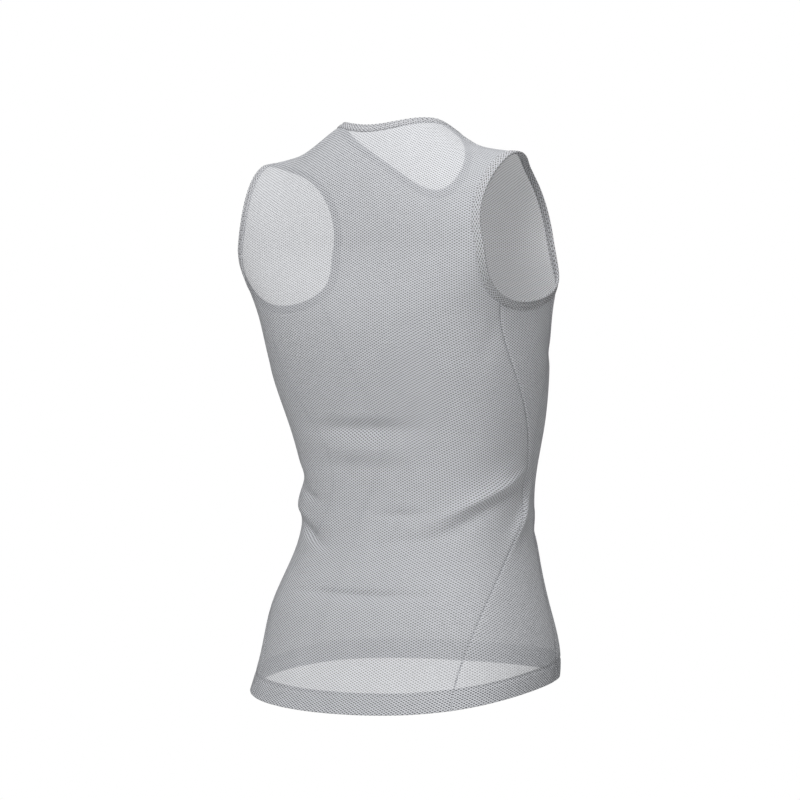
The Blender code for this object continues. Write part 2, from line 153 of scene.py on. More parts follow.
# Finer creases that the solids leave out
CREASES = (
    Fold(0, 0.289, 0.042, 0.006, 0, 0.0018),  # sharpen the folds across the back
    Fold(-1, 0.303, 0.043, 0.0065, 0, -0.0038),
    Fold(0, 0.307, 0.040, 0.011, 0, -0.0016),
    Fold(1, 0.3245, 0.042, 0.0115, -1, 0.0042),
    Fold(2, 0.3405, 0.036, 0.0075, -1, -0.0014),
    Fold(-16, 0.386, 0.024, 0.005, -3, -0.0026),
    Fold(-60, 0.371, 0.062, 0.006, -18, 0.0035),  # along the long fold over the right waist
    Fold(-78, 0.356, 0.034, 0.006, -20, 0.0048),
    Fold(-64, 0.382, 0.066, 0.0055, -19, -0.0015),
    Fold(-20, 0.411, 0.034, 0.006, -9, -0.0022),
    Fold(-74, 0.349, 0.026, 0.007, -30, 0.0010),
    Fold(-95, 0.386, 0.026, 0.006, -47, 0.0036),
    Fold(-104, 0.352, 0.024, 0.008, -32, -0.0013),
    Fold(38, 0.3695, 0.022, 0.0055, 12, -0.0030),  # over the left waist
    Fold(34, 0.409, 0.034, 0.0055, 23, -0.0036),
    Fold(30, 0.418, 0.030, 0.006, 16, 0.0016),
    Fold(46, 0.389, 0.026, 0.007, 16, 0.0022),
    Fold(92, 0.452, 0.036, 0.009, 35, 0.0012),
    Fold(101, 0.352, 0.024, 0.008, 30, -0.0014),
    Fold(-2, 0.4635, 0.060, 0.0035, 0, -0.0040),  # across the lower back
    Fold(-4, 0.475, 0.042, 0.008, 2, 0.0008),
    Fold(-24, 0.548, 0.026, 0.011, 82, -0.0009),  # soft pleats up from the hem
    Fold(22, 0.545, 0.028, 0.012, 98, 0.0009),
    Fold(-117, 0.222, 0.022, 0.010, 10, -0.0020),  # under the arms
    Fold(-64, 0.212, 0.030, 0.009, -55, -0.0009),
    Fold(62, 0.214, 0.030, 0.009, 55, -0.0010),
    Fold(174, 0.300, 0.050, 0.006, 3, -0.0036),  # over the front
    Fold(188, 0.324, 0.050, 0.0055, 5, -0.0032),
    Fold(191, 0.336, 0.044, 0.008, 5, 0.0026),
    Fold(202, 0.347, 0.040, 0.006, -5, -0.0028),
    Fold(218, 0.372, 0.048, 0.006, -22, 0.0028),
    Fold(152, 0.361, 0.036, 0.006, 20, 0.0024),
    Fold(160, 0.408, 0.034, 0.006, 14, -0.0028),
    Fold(206, 0.414, 0.038, 0.007, -12, 0.0014),
    Fold(178, 0.458, 0.044, 0.0035, -2, -0.0026),
    Fold(150, 0.520, 0.026, 0.012, 80, 0.0009),
    Fold(214, 0.524, 0.024, 0.011, 100, -0.0009),
    Fold(163, 0.196, 0.050, 0.014, 25, -0.0009),
    Fold(198, 0.203, 0.046, 0.014, -25, -0.0010),
)
FOLD_RADIUS = 0.13  # turns an angle into a distance round the body

# How finely the sheets are laid out
SHOULDER_ROWS = 22
NECK_COLUMNS = 150
SIDE_COLUMNS = 36
SEAM_ROWS = 230
ARMHOLE_ROWS = 44
HEM_ROWS = 16
FOLD_STEPS = 8
INSET_STEPS = 4
CURVE_POINTS = 400
WAIST_CROWDING = 0.10  # draws the rows together at the waist, where the creases are
SAG_ROUNDING = 1.5  # more than 1 keeps the rows over the underarm off the armhole's edge
NECK_LIKENESS = 4  # the higher, the nearer to the neck the rows take its shape
SHEET_DEPTH = 0.0003  # the sheets lie this far under the form
TUCK = 0.002  # how far the panels reach into their bindings

COLLECTION = "sleeveless_base_layer"
MESH_KNIT = "Polyester micro-mesh, warp knitted"


def linear(hex_colour):
    """Linear red, green and blue of an sRGB hex colour."""
    shares = [int(hex_colour[i : i + 2], 16) / 255 for i in (1, 3, 5)]
    return tuple(s / 12.92 if s <= 0.04045 else ((s + 0.055) / 1.055) ** 2.4 for s in shares)


class BASELAYER_KnitSettings(bpy.types.PropertyGroup):
    """The mesh knit of the panels."""

    colour: bpy.props.FloatVectorProperty(
        name="Yarn colour",
        description="Colour of the white polyester yarn",
        default=linear("#E5E7EC"),
        subtype="COLOR",
        min=0,
        max=1,
    )
    repeat_across: bpy.props.FloatProperty(
        name="Repeat across",
        description="Distance between two holes in a row",
        default=0.0049,
        unit="LENGTH",
    )
    repeat_up: bpy.props.FloatProperty(
        name="Repeat up",
        description="Distance between two holes in a column",
        default=0.0027,
        unit="LENGTH",
    )
    hole_width: bpy.props.FloatProperty(
        name="Hole width",
        description="Width of a hole, across the body",
        default=0.0022,
        unit="LENGTH",
    )
    hole_height: bpy.props.FloatProperty(
        name="Hole height",
        description="Height of a hole",
        default=0.0013,
        unit="LENGTH",
    )
    cover: bpy.props.FloatProperty(
        name="Cover",
        description="Share of the light that the yarn between the holes stops",
        default=0.82,
        min=0,
        max=1,
        subtype="FACTOR",
    )
    hole_cover: bpy.props.FloatProperty(
        name="Hole cover",
        description="Share of the light that the fine net in a hole stops",
        default=0.72,
        min=0,
        max=1,
        subtype="FACTOR",
    )
    seam_dip: bpy.props.FloatProperty(
        name="Seam dip",
        description="How deep a seam draws the cloth in",
        default=0.0006,
        unit="LENGTH",
    )


class BASELAYER_BindingSettings(bpy.types.PropertyGroup):
    """The folded strips round the neck and armholes."""

    colour: bpy.props.FloatVectorProperty(
        name="Binding colour",
        description="Colour of the folded mesh",
        default=linear("#E2E3E7"),
        subtype="COLOR",
        min=0,
        max=1,
    )
    cover: bpy.props.FloatProperty(
        name="Cover",
        description="Share of the light that the folded mesh stops",
        default=0.94,
        min=0,
        max=1,
        subtype="FACTOR",
    )
    pucker: bpy.props.FloatProperty(
        name="Pucker",
        description="How much the stitches gather the strip, as a share of its thickness",
        default=0.06,
        min=0,
        max=0.3,
        subtype="FACTOR",
    )


class BASELAYER_SewingSettings(bpy.types.PropertyGroup):
    """Thread and stitches."""

    colour: bpy.props.FloatVectorProperty(
        name="Thread colour",
        description="Colour of the polyester thread",
        # greyer than the white yarn: painted shade, so that the stitch rows and the overlocked seams
        # read as dark lines
        default=linear("#C9CACF"),
        subtype="COLOR",
        min=0,
        max=1,
    )
    pitch: bpy.props.FloatProperty(
        name="Stitch pitch",
        description="Distance from one stitch to the next",
        default=0.0028,
        unit="LENGTH",
    )
    length: bpy.props.FloatProperty(
        name="Stitch length",
        description="Length of thread that shows in a stitch",
        default=0.0021,
        unit="LENGTH",
    )
    thickness: bpy.props.FloatProperty(
        name="Thread thickness",
        description="Diameter of the bulked thread",
        default=0.00042,
        unit="LENGTH",
    )


class BASELAYER_StageSettings(bpy.types.PropertyGroup):
    """Floor, light and camera."""

    azimuth: bpy.props.FloatProperty(
        name="Azimuth",
        description="Camera's way round the garment; 0 looks at the front",
        default=math.radians(215.07),
        subtype="ANGLE",
    )
    elevation: bpy.props.FloatProperty(
        name="Elevation",
        description="Camera's angle over the horizon",
        default=math.radians(0.25),
        subtype="ANGLE",
    )
    distance: bpy.props.FloatProperty(
        name="Distance",
        description="From the camera to the middle of the picture",
        default=3.008,
        unit="LENGTH",
    )
    lens: bpy.props.FloatProperty(
        name="Lens",
        description="Focal length on a 36 mm sensor",
        default=133.6,
        unit="CAMERA",
    )
    floor_drop: bpy.props.FloatProperty(
        name="Floor drop",
        description="Floor under the high shoulder points",
        default=1.0,
        unit="LENGTH",
    )
    light: bpy.props.FloatProperty(
        name="Light",
        description="Strength of all the soft boxes together",
        default=1.0,
        min=0,
    )


# Curves and form


def spline(knots, values, at, flat_start=False):
    """Cubic spline through the values; its ends are natural, or the first one is level."""
    knots, values = np.array(knots, float), np.array(values, float)
    step = np.diff(knots)
    slope = np.diff(values) / step
    count = len(knots)
    system, right = np.eye(count), np.zeros(count)
    for i in range(1, count - 1):
        system[i, i - 1 : i + 2] = step[i - 1], 2 * (step[i - 1] + step[i]), step[i]
        right[i] = 6 * (slope[i] - slope[i - 1])
    if flat_start:
        system[0, :2] = 2 * step[0], step[0]
        right[0] = 6 * slope[0]
    bend = np.linalg.solve(system, right)
    i = np.clip(np.searchsorted(knots, at) - 1, 0, count - 2)
    near, far = at - knots[i], knots[i + 1] - at
    return (
        (bend[i] * far**3 + bend[i + 1] * near**3) / (6 * step[i])
        + (values[i] / step[i] - bend[i] * step[i] / 6) * far
        + (values[i + 1] / step[i] - bend[i + 1] * step[i] / 6) * near
    )


def column(table, name):
    return [getattr(row, name) for row in table]


BLADE_DROP = SECTIONS[0].drop


def ring(angle, drop):
    """The body section at a drop: an ellipse whose corners are filled out by its squareness."""
    drops = column(SECTIONS, "drop")
    half_width, half_depth, centre_y, square = (
        spline(drops, column(SECTIONS, name), drop, flat_start=True)
        for name in ("half_width", "half_depth", "centre_y", "squareness")
    )
    x = half_width * (np.sin(angle) + square * np.sin(3 * angle)) / (1 - square)
    y = half_depth * (np.cos(angle) - square * np.cos(3 * angle)) / (1 - square)
    return x, centre_y + y


def ridge(x):
    """Height and y of the shoulder ridge at a distance from the middle."""
    out = column(RIDGE, "out")
    height = spline(out, column(RIDGE, "height"), np.abs(x), flat_start=True)
    return height, np.interp(np.abs(x), out, column(RIDGE, "y"))


def rounding(angle, x):
    """The power of the depth over the blade line; the front's goes over smoothly from the
    middle's to the shoulder tip's."""
    share = np.clip(np.abs(x) / TIP_OUT, 0, 1)
    front = FRONT_ROUNDING + (TIP_ROUNDING - FRONT_ROUNDING) * share**2 * (3 - 2 * share)
    return np.where(np.cos(angle) > 0, BACK_ROUNDING, front)


def form(angle, level):
    """Points on the form. Over the blade line a section at constant x curves up to the ridge:
    its height follows a sine, and its depth a power of the cosine."""
    angle, level = np.broadcast_arrays(np.asarray(angle, float), level)
    x, y = ring(angle, BLADE_DROP - np.minimum(level, 0))
    rise = np.clip(level / SHOULDER_RISE, 0, 1) * math.pi / 2
    ridge_z, ridge_y = ridge(x)
    z = np.minimum(level, 0) - BLADE_DROP + np.sin(rise) * (ridge_z + BLADE_DROP)
    over_ridge = ridge_y + (y - ridge_y) * np.abs(np.cos(rise)) ** rounding(angle, x)
    return np.stack([x, np.where(level > 0, over_ridge, y), z], -1)


def relief(angle, height):
    """How far the creases move the cloth outwards: each is a bell across it and along it."""
    total = np.zeros_like(height)
    for fold in FOLDS + CREASES:
        turn = (angle - math.radians(fold.angle) + math.pi) % (2 * math.pi) - math.pi
        along, across = FOLD_RADIUS * turn, height + fold.drop
        tilt = math.radians(fold.tilt)
        u = (along * math.cos(tilt) + across * math.sin(tilt)) / fold.half_length
        v = (across * math.cos(tilt) - along * math.sin(tilt)) / fold.half_width
        total += fold.height * np.exp(-(u**2) - v**2)
    return total


def slopes(angle, level, step=0.004):
    """How the form's points move for a unit of angle and for a unit of level."""
    low, high = level - step, np.minimum(level + step, SHOULDER_RISE)
    by_angle = (form(angle + step, level) - form(angle - step, level)) / (2 * step)
    by_level = (form(angle, high) - form(angle, low)) / (high - low)[..., None]
    return by_angle, by_level


def unit(vectors):
    return vectors / np.linalg.norm(vectors, axis=-1, keepdims=True)


def cloth(angle, level, depth=0.0):
    """Points of the cloth and its outward normals, at a depth under its outer face."""
    by_angle, by_level = slopes(angle, level)
    normal = unit(np.cross(by_level, by_angle))
    points = form(angle, level)
    out = relief(angle, points[..., 2]) - depth
    return points + normal * out[..., None], normal


def angle_at(x):
    """The angle on the back at which the blade-line section reaches a distance from the middle."""
    angles = np.linspace(-math.pi / 2, math.pi / 2, CURVE_POINTS)
    return np.interp(x, ring(angles, BLADE_DROP)[0], angles)


def level_at(angle, z):
    """The level at which the form reaches a height."""
    ridge_z, _ = ridge(ring(angle, BLADE_DROP)[0])
    share = np.clip((z + BLADE_DROP) / (ridge_z + BLADE_DROP), 0, 1)
    return np.where(z < -BLADE_DROP, z + BLADE_DROP, np.arcsin(share) * 2 / math.pi * SHOULDER_RISE)


def level_away(angle, distance):
    """The level over the blade line at which the form is a distance in front of or behind the
    ridge."""
    x, y = ring(angle, BLADE_DROP)
    share = distance / np.abs(y - ridge(x)[1])
    rise = np.arccos(share ** (1 / rounding(angle, x)))
    return SHOULDER_RISE * rise * 2 / math.pi


def from_above(x, y, on_back):
    """Angle and level of the form's points over the blade line that lie at x and y."""
    angle = angle_at(x)
    angle = np.where(on_back, angle, math.pi - angle)
    return np.stack([angle, level_away(angle, np.abs(y - ridge(x)[1]))])


def sideways(line, along):
    """Over the form to the left of a line's course, as seen from outside, in unit steps."""
    by_angle, by_level = slopes(*line)
    return unit(np.cross(np.cross(by_level, by_angle), along))


def inset(curve, distance):
    """The curve moved over the cloth, to the left of its course as seen from outside."""
    angle, level = curve
    move = sideways(curve, np.gradient(form(angle, level), axis=0)) * distance / INSET_STEPS
    for _ in range(INSET_STEPS):
        basis = np.stack(slopes(angle, level), -1)
        inverse = np.linalg.pinv(basis, rcond=0.05)  # no leap where the two slopes nearly agree
        step = np.einsum("nij,nj->ni", inverse, move)
        angle, level = angle + step[:, 0], np.minimum(level + step[:, 1], SHOULDER_RISE)
    return np.stack([angle, level])


def read(curve, at):
    """The curve at fractions of its course."""
    course = np.linspace(0, 1, curve.shape[1])
    return np.stack([np.interp(at, course, row) for row in curve])


def crossing(first, second):
    """The fractions of two curves at which they cross."""
    a, b = first.T[:-1, None], second.T[None, :-1]
    da, db = np.diff(first).T[:, None], np.diff(second).T[None]
    area = da[..., 0] * db[..., 1] - da[..., 1] * db[..., 0]
    gap = b - a
    with np.errstate(divide="ignore", invalid="ignore"):
        on_a = (gap[..., 0] * db[..., 1] - gap[..., 1] * db[..., 0]) / area
        on_b = (gap[..., 0] * da[..., 1] - gap[..., 1] * da[..., 0]) / area
    i, j = np.argwhere((on_a >= 0) & (on_a < 1) & (on_b >= 0) & (on_b < 1))[0]
    return (i + on_a[i, j]) / (first.shape[1] - 1), (j + on_b[i, j]) / (second.shape[1] - 1)


# Cut lines, on the wearer's left where they come in pairs


def hem_level(angle):
    """The level of the hem's sheet, just over its fold."""
    front = (1 - np.cos(angle)) / 2
    side = (1 - np.cos(2 * angle)) / 2
    height = HEM_FRONT_LIFT * front + HEM_SIDE_LIFT * side - HEM_DROP
    return height + BLADE_DROP + HEM_FOLD / 2 + SHEET_DEPTH


def seam_line(side):
    """A side seam, upwards past the hem and the armhole; side is back_angle or front_angle."""
    drop = np.linspace(SEAMS[-1].drop, SEAMS[0].drop, CURVE_POINTS)
    angle = np.radians(spline(column(SEAMS, "drop"), column(SEAMS, side), drop))
    return np.stack([angle, BLADE_DROP - drop])


def armhole_line():
    """The armhole's finished edge, with the cloth on the left of its course."""
    course = np.linspace(0, 1, CURVE_POINTS)
    knots = np.linspace(0, 1, len(ARMHOLE))
    angle = np.radians(spline(knots, column(ARMHOLE, "angle"), course))
    share = np.minimum(spline(knots, column(ARMHOLE, "share"), course), 1)
    ridge_z, _ = ridge(ring(angle, BLADE_DROP)[0])
    return np.stack([angle, level_at(angle, share * (ridge_z + UNDERARM_DROP) - UNDERARM_DROP)])


def armhole_rim():
    """The panels' edge round the armhole, tucked into the binding."""
    return inset(armhole_line(), BINDING_WIDTH - TUCK)


def neck_loop(distance):
    """The neckline's finished edge, or a line outside it by a distance over the cloth: x and y
    for each turn from 0 at the centre back, over the wearer's left shoulder and round."""
    turn = np.linspace(0, 2 * math.pi, 2 * CURVE_POINTS, endpoint=False)
    x = NECK_HALF_WIDTH * np.sin(turn)
    y = NECK_CENTRE_Y + NECK_HALF_DEPTH * np.cos(turn)
    line = from_above(x, y, y > ridge(x)[1])
    points = form(*line)
    outwards = sideways(line, np.roll(points, -1, axis=0) - np.roll(points, 1, axis=0)) * distance
    return turn, x + outwards[:, 0], y + outwards[:, 1]


def neck_line(turns, distance, on_back=None):
    """The line beside the neckline at some turns; on_back says which side of the ridge it is."""
    turn, x, y = neck_loop(distance)
    x, y = (np.interp(turns, turn, row, period=2 * math.pi) for row in (x, y))
    return from_above(x, y, y > ridge(x)[1] if on_back is None else on_back)


def neck_stations():
    """Turns of the back's neck edge, from shoulder seam to shoulder seam, and of the front's."""
    turn, x, y = neck_loop(BINDING_WIDTH - TUCK)
    half = slice(0, CURVE_POINTS)
    seam = np.interp(0, (ridge(x)[1] - y)[half], turn[half])
    back = np.linspace(-seam, seam, NECK_COLUMNS + 1)
    return back, np.linspace(seam, 2 * math.pi - seam, NECK_COLUMNS + 1)


def mirrored(curve):
    """The same line on the wearer's right, turned round so that the cloth keeps its side."""
    return np.stack([-curve[0], curve[1]])[:, ::-1]


# Sheets


def seam_edge(side):
    """A panel's edge along a side seam, from the hem's fold to the armhole: its points, and the
    armhole's fraction at its upper end."""
    edge = seam_line(side)
    over_hem = edge[1] - hem_level(edge[0])
    low = np.interp(0, over_hem, edge[1])
    at_rim, at_edge = crossing(armhole_rim(), edge)
    high = read(edge, [at_edge])[1, 0]
    rows = np.linspace(0, 1, SEAM_ROWS + 1)[1:]
    rows = rows + WAIST_CROWDING * np.sin(2 * math.pi * rows)
    hem_rows = low + np.linspace(0, HEM_DEPTH, HEM_ROWS + 1)
    levels = np.concatenate([hem_rows, hem_rows[-1] + rows * (high - hem_rows[-1])])
    return np.stack([np.interp(levels, edge[1], edge[0]), levels]), at_rim


def armhole_stations():
    """Fractions of the armhole at the shoulder tip, down to the side panel, past it, and up again."""
    painted_rim_shade = armhole_rim()
    back, front = (crossing(painted_rim_shade, seam_line(side))[0] for side in ("back_angle", "front_angle"))
    return (
        np.linspace(0, back, ARMHOLE_ROWS + 1),
        np.linspace(back, front, SIDE_COLUMNS + 1),
        np.linspace(front, 1, ARMHOLE_ROWS + 1),
    )


def running_length(points, axis=0, closed=False):
    """Length from the first point along a line, or along a grid's rows or columns. A closed line
    comes back to its first point."""
    steps = np.diff(points, axis=axis, append=points[:1]) if closed else np.diff(points, axis=axis)
    steps = np.linalg.norm(steps, axis=-1)
    return np.concatenate([np.zeros_like(steps.take([0], axis)), np.cumsum(steps, axis)], axis)


def share_along(curve):
    """Where each point of a curve over the form lies along it, from 0 to 1."""
    length = running_length(form(*curve))
    return length / length[-1]


def spanned(left, right, top):
    """A grid between two sides, the hem and a top edge: each point is the mean of the two edges
    across it in both directions, less the mean of the four corners."""
    bottom = left[0, 0] + (right[0, 0] - left[0, 0]) * share_along(top)
    bottom = np.stack([bottom, hem_level(bottom)])
    top[:, 0], top[:, -1] = left[:, -1], right[:, -1]
    u = share_along(top)[None, None]
    v = ((share_along(left) + share_along(right)) / 2)[None, :, None]
    between = (1 - v) * bottom[:, None] + v * top[:, None]
    between = between + (1 - u) * left[:, :, None] + u * right[:, :, None]
    low = (1 - u) * bottom[:, :1, None] + u * bottom[:, -1:, None]
    high = (1 - u) * top[:, :1, None] + u * top[:, -1:, None]
    return between - (1 - v) * low - v * high


def panel_side(seam, armhole, neck_angle):
    """A body panel's side, up its side seam, its armhole and its shoulder seam to the neck."""
    shoulder = np.linspace(armhole[0, -1], neck_angle, SHOULDER_ROWS + 1)[1:]
    shoulder = np.stack([shoulder, np.full_like(shoulder, SHOULDER_RISE)])
    return np.concatenate([seam, armhole[:, 1:], shoulder], axis=1)


def body_panel(side, neck):
    """The grid of the back or front, between a side, its mirror image and the neck edge. The rows
    are level up to the underarm. Over it they sag, and the last one is the neck edge. Each point
    lies at a share of the half span that the panel has at the point's own level."""
    rows, across = side.shape[1], np.linspace(-1, 1, neck.shape[1])
    over_arm = ARMHOLE_ROWS + SHOULDER_ROWS
    underarm = rows - over_arm - 1
    centre = np.linspace(side[1, underarm], neck[1].min(), over_arm + 1)[1:]
    centre = np.concatenate([side[1, : underarm + 1], centre])
    neck_sag = (side[1, -1] - neck[1]) / (side[1, -1] - neck[1].min())
    neck_sag[0] = neck_sag[-1] = 0
    share = np.maximum(np.arange(rows) - underarm, 0)[:, None] / over_arm
    sag = (1 - across**2) ** SAG_ROUNDING
    sag = sag + (neck_sag - sag) * share**NECK_LIKENESS
    level = side[1][:, None] + sag * (centre - side[1])[:, None]

    middle = neck[0].mean()
    half_span = np.abs(side[0] - middle)
    outline = side[1, :-SHOULDER_ROWS], half_span[:-SHOULDER_ROWS]
    reach = np.interp(level, *outline)
    part = (half_span / np.interp(side[1], *outline))[:, None] * across
    bend = (neck[0] - middle) / reach[-1] - part[-1]
    bend[0] = bend[-1] = 0
    angle = middle + reach * (part + bend * np.linspace(0, 1, rows)[:, None])

    low, high = side[1, HEM_ROWS], side[1, underarm]
    by_hem = np.clip((high - side[1]) / (high - low), 0, 1)[:, None]
    return np.stack([angle, level + by_hem * (hem_level(angle) - hem_level(angle[:, :1]))])


def bilinear(table, row, col):
    """A table read between its rows and columns."""
    i = np.clip(row.astype(int), 0, table.shape[0] - 2)
    j = np.clip(col.astype(int), 0, table.shape[1] - 2)
    down, right = row - i, col - j
    top = table[i, j] * (1 - right) + table[i, j + 1] * right
    bottom = table[i + 1, j] * (1 - right) + table[i + 1, j + 1] * right
    return top * (1 - down) + bottom * down


GRAIN_HALF_ANGLE = 2.3  # the grain's table reaches this far round and down from the middle line
GRAIN_LOWEST = -0.49
GRAIN_STEPS = 260


def grain(angle, level, middle):
    """The knit's own measure in metres: across is the length over the form from the panel's middle
    line at the same level, up is the length from the blade line at the same angle."""
    angles = middle + np.linspace(-GRAIN_HALF_ANGLE, GRAIN_HALF_ANGLE, GRAIN_STEPS + 1)
    levels = np.linspace(GRAIN_LOWEST, SHOULDER_RISE, GRAIN_STEPS + 1)
    points = form(angles[None], levels[:, None])
    across, up = running_length(points, axis=1), running_length(points)
    row = (level - GRAIN_LOWEST) / (SHOULDER_RISE - GRAIN_LOWEST) * GRAIN_STEPS
    col = (angle - angles[0]) / (2 * GRAIN_HALF_ANGLE) * GRAIN_STEPS
    across = across - across[:, GRAIN_STEPS // 2, None]
    return np.stack([bilinear(across, row, col), bilinear(up, row, col)], -1)


SEAM_REACH = 0.0017  # how far beside a seam the cloth is drawn in
HEM_STITCH = 0.0185  # height of the hem's stitches over its fold
HEM_STITCH_DIP = 0.0007
HEM_STITCH_REACH = 0.0014


def drawn_in(points, dip, tucks):
    """How deep the seams, the bindings and the hem's stitches draw the sheet in: a bell across
    each of them. The tucks say how far each row's ends reach into a binding."""
    along, up = running_length(points, axis=1), running_length(points)
    beside = np.minimum(along, along[:, -1:] - along) - tucks[:, None]
    under = up[-1:] - up - TUCK
    edges = np.maximum(np.exp(-((beside / SEAM_REACH) ** 2)), np.exp(-((under / SEAM_REACH) ** 2)))
    stitched = np.exp(-(((up - HEM_STITCH) / HEM_STITCH_REACH) ** 2))
    return dip * edges + HEM_STITCH_DIP * stitched * (1 - edges)


def with_hem(grid, middle, dip):
    """A panel's sheet and its grain: the turned-up hem, the fold and the wall above it."""
    tucks = np.zeros(grid.shape[1])
    tucks[HEM_ROWS + SEAM_ROWS + 1 : -SHOULDER_ROWS] = TUCK  # none on a side panel
    depth = SHEET_DEPTH + drawn_in(form(*grid), dip, tucks)
    wall, normal = cloth(grid[0], grid[1], depth)
    grain_wall = grain(grid[0], grid[1], middle)
    radius = HEM_FOLD / 2
    turned = wall[HEM_ROWS::-1] - normal[HEM_ROWS::-1] * HEM_FOLD
    down = -unit(wall[1] - wall[0])
    turn = math.pi * (1 - np.arange(1, FOLD_STEPS) / FOLD_STEPS)[:, None, None]
    centre = wall[0] - normal[0] * radius
    bend = centre + radius * (normal[0] * np.cos(turn) + down * np.sin(turn))

    upwards = np.array([0, 1.0])
    grain_bend = grain_wall[0] - upwards * radius * turn
    grain_turned = grain_wall[HEM_ROWS::-1].copy()
    grain_turned[..., 1] = 2 * grain_wall[0, :, 1] - grain_turned[..., 1] - math.pi * radius
    return (
        np.concatenate([turned, bend, wall]),
        np.concatenate([grain_turned, grain_bend, grain_wall]),
    )


def numbered(*shape):
    """The numbers of a grid's points."""
    return np.arange(math.prod(shape)).reshape(shape)


def quads(rows, columns):
    """Faces of a grid whose rows go up and whose columns go round with the angle."""
    index = numbered(rows, columns)
    return np.stack([index[:-1, :-1], index[1:, :-1], index[1:, 1:], index[:-1, 1:]], -1)


def mesh_object(name, points, faces, corners_uv, material):
    """A mesh of quads with one UV point for each corner, at the origin."""
    mesh = bpy.data.meshes.new(name)
    faces = faces.reshape(-1, 4)
    mesh.vertices.add(points.size // 3)
    mesh.vertices.foreach_set("co", points.astype(np.float32).ravel())
    mesh.loops.add(faces.size)
    mesh.loops.foreach_set("vertex_index", faces.astype(np.int32).ravel())
    mesh.polygons.add(len(faces))
    mesh.polygons.foreach_set("loop_start", np.arange(0, faces.size, 4, dtype=np.int32))
    mesh.update(calc_edges=True)
    mesh.uv_layers.new(name="grain").data.foreach_set("uv", corners_uv.astype(np.float32).ravel())
    mesh.materials.append(material)
    mesh.shade_smooth()
    made = bpy.data.objects.new(name, mesh)
    bpy.data.collections[COLLECTION].objects.link(made)
    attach(made, "root")
    return made


def knitted_panel(name, node, grid, middle):
    """A panel of mesh knit that stands for one of the solids. All of them share its material."""
    material = bpy.data.materials.get(MESH_KNIT) or mesh_knit()
    dip = bpy.context.scene.base_layer_knit.seam_dip
    sheet, measure = with_hem(grid, middle, dip)
    faces = quads(*sheet.shape[:2])
    made = mesh_object(name, sheet, faces, measure.reshape(-1, 2)[faces.reshape(-1, 4)], material)
    doubled = np.arange(sheet.shape[0])[:, None] < 2 * HEM_ROWS + FOLD_STEPS
    doubled = np.broadcast_to(doubled, sheet.shape[:2]).astype(np.float32)
    made.data.attributes.new("doubled", "FLOAT", "POINT").data.foreach_set("value", doubled.ravel())
    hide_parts(node)
    return made


# Bindings and sewing

# The folded strip's upper half: share of the width from the panel to the edge, share of half the
# thickness. It dips at its two rows of stitches and is rolled at the edge
Strip = namedtuple("Strip", "share height")
STRIP = (
    Strip(0.00, 0.10),
    Strip(0.03, 0.55),
    Strip(0.08, 0.88),
    Strip(0.14, 0.92),
    Strip(0.20, 0.66),
    Strip(0.27, 0.90),
    Strip(0.38, 1.06),
    Strip(0.50, 1.05),
    Strip(0.60, 0.84),
    Strip(0.67, 0.58),
    Strip(0.74, 0.94),
    Strip(0.84, 1.20),
    Strip(0.92, 1.06),
    Strip(0.98, 0.58),
    Strip(1.00, 0.14),
)
STITCH_ROWS = (0.20, 0.67)
BINDING_DEPTH = 0.0006  # the strip's middle lies this far under the form
PUCKER_PITCH = 0.0056
PANEL_GAP_CLOSED = 0.0003  # the solids' gap beside the panel, closed by the strip


def strip_section():
    """The whole section, out along the upper half and back along the lower one."""
    upper = np.array(STRIP)
    lower = upper[::-1] * (1, -1)
    return np.concatenate([upper, lower])


def strip_frame(seam, edge):
    """Middle line, way across and normal of a strip between the panels' side and the edge."""
    seam, edge = form(*seam), form(*edge)
    across = edge - seam
    along = np.roll(edge + seam, -1, axis=0) - np.roll(edge + seam, 1, axis=0)
    normal = unit(np.cross(across, along))
    return seam - normal * BINDING_DEPTH, across, normal


def binding(name, node, seam, edge, material):
    """The section carried round an opening. The stitches gather it: its thickness follows a
    cosine along the strip."""
    middle, across, normal = strip_frame(seam, edge)
    share, height = strip_section().T[..., None]
    length = running_length(middle, closed=True)
    pitch = length[-1] / round(length[-1] / PUCKER_PITCH)
    pucker = bpy.context.scene.base_layer_binding.pucker
    pucker = 1 + pucker * np.cos(2 * math.pi * length[:-1] / pitch)
    share = share[..., None] - (1 - share[..., None]) * PANEL_GAP_CLOSED / BINDING_WIDTH
    lift = height[..., None] * pucker[:, None] * BINDING_THICKNESS / 2
    points = middle + across * share + normal * lift

    index = numbered(*points.shape[:2])
    beyond = np.roll(index, -1, axis=0)
    faces = np.stack([index, beyond, np.roll(beyond, -1, axis=1), np.roll(index, -1, axis=1)], -1)
    section = strip_section() * (BINDING_WIDTH, BINDING_THICKNESS / 2)
    measure = np.stack(np.meshgrid(length, running_length(section, closed=True)), -1)
    corners = np.stack(
        [measure[:-1, :-1], measure[1:, :-1], measure[1:, 1:], measure[:-1, 1:]], -2
    )
    made = mesh_object(name, points, faces, corners, material)
    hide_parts(node)
    return made


STITCH_RINGS = ((-1.0, 0.25), (-0.8, 0.75), (-0.35, 1.0), (0.35, 1.0), (0.8, 0.75), (1.0, 0.25))
STITCH_SIDES = 6


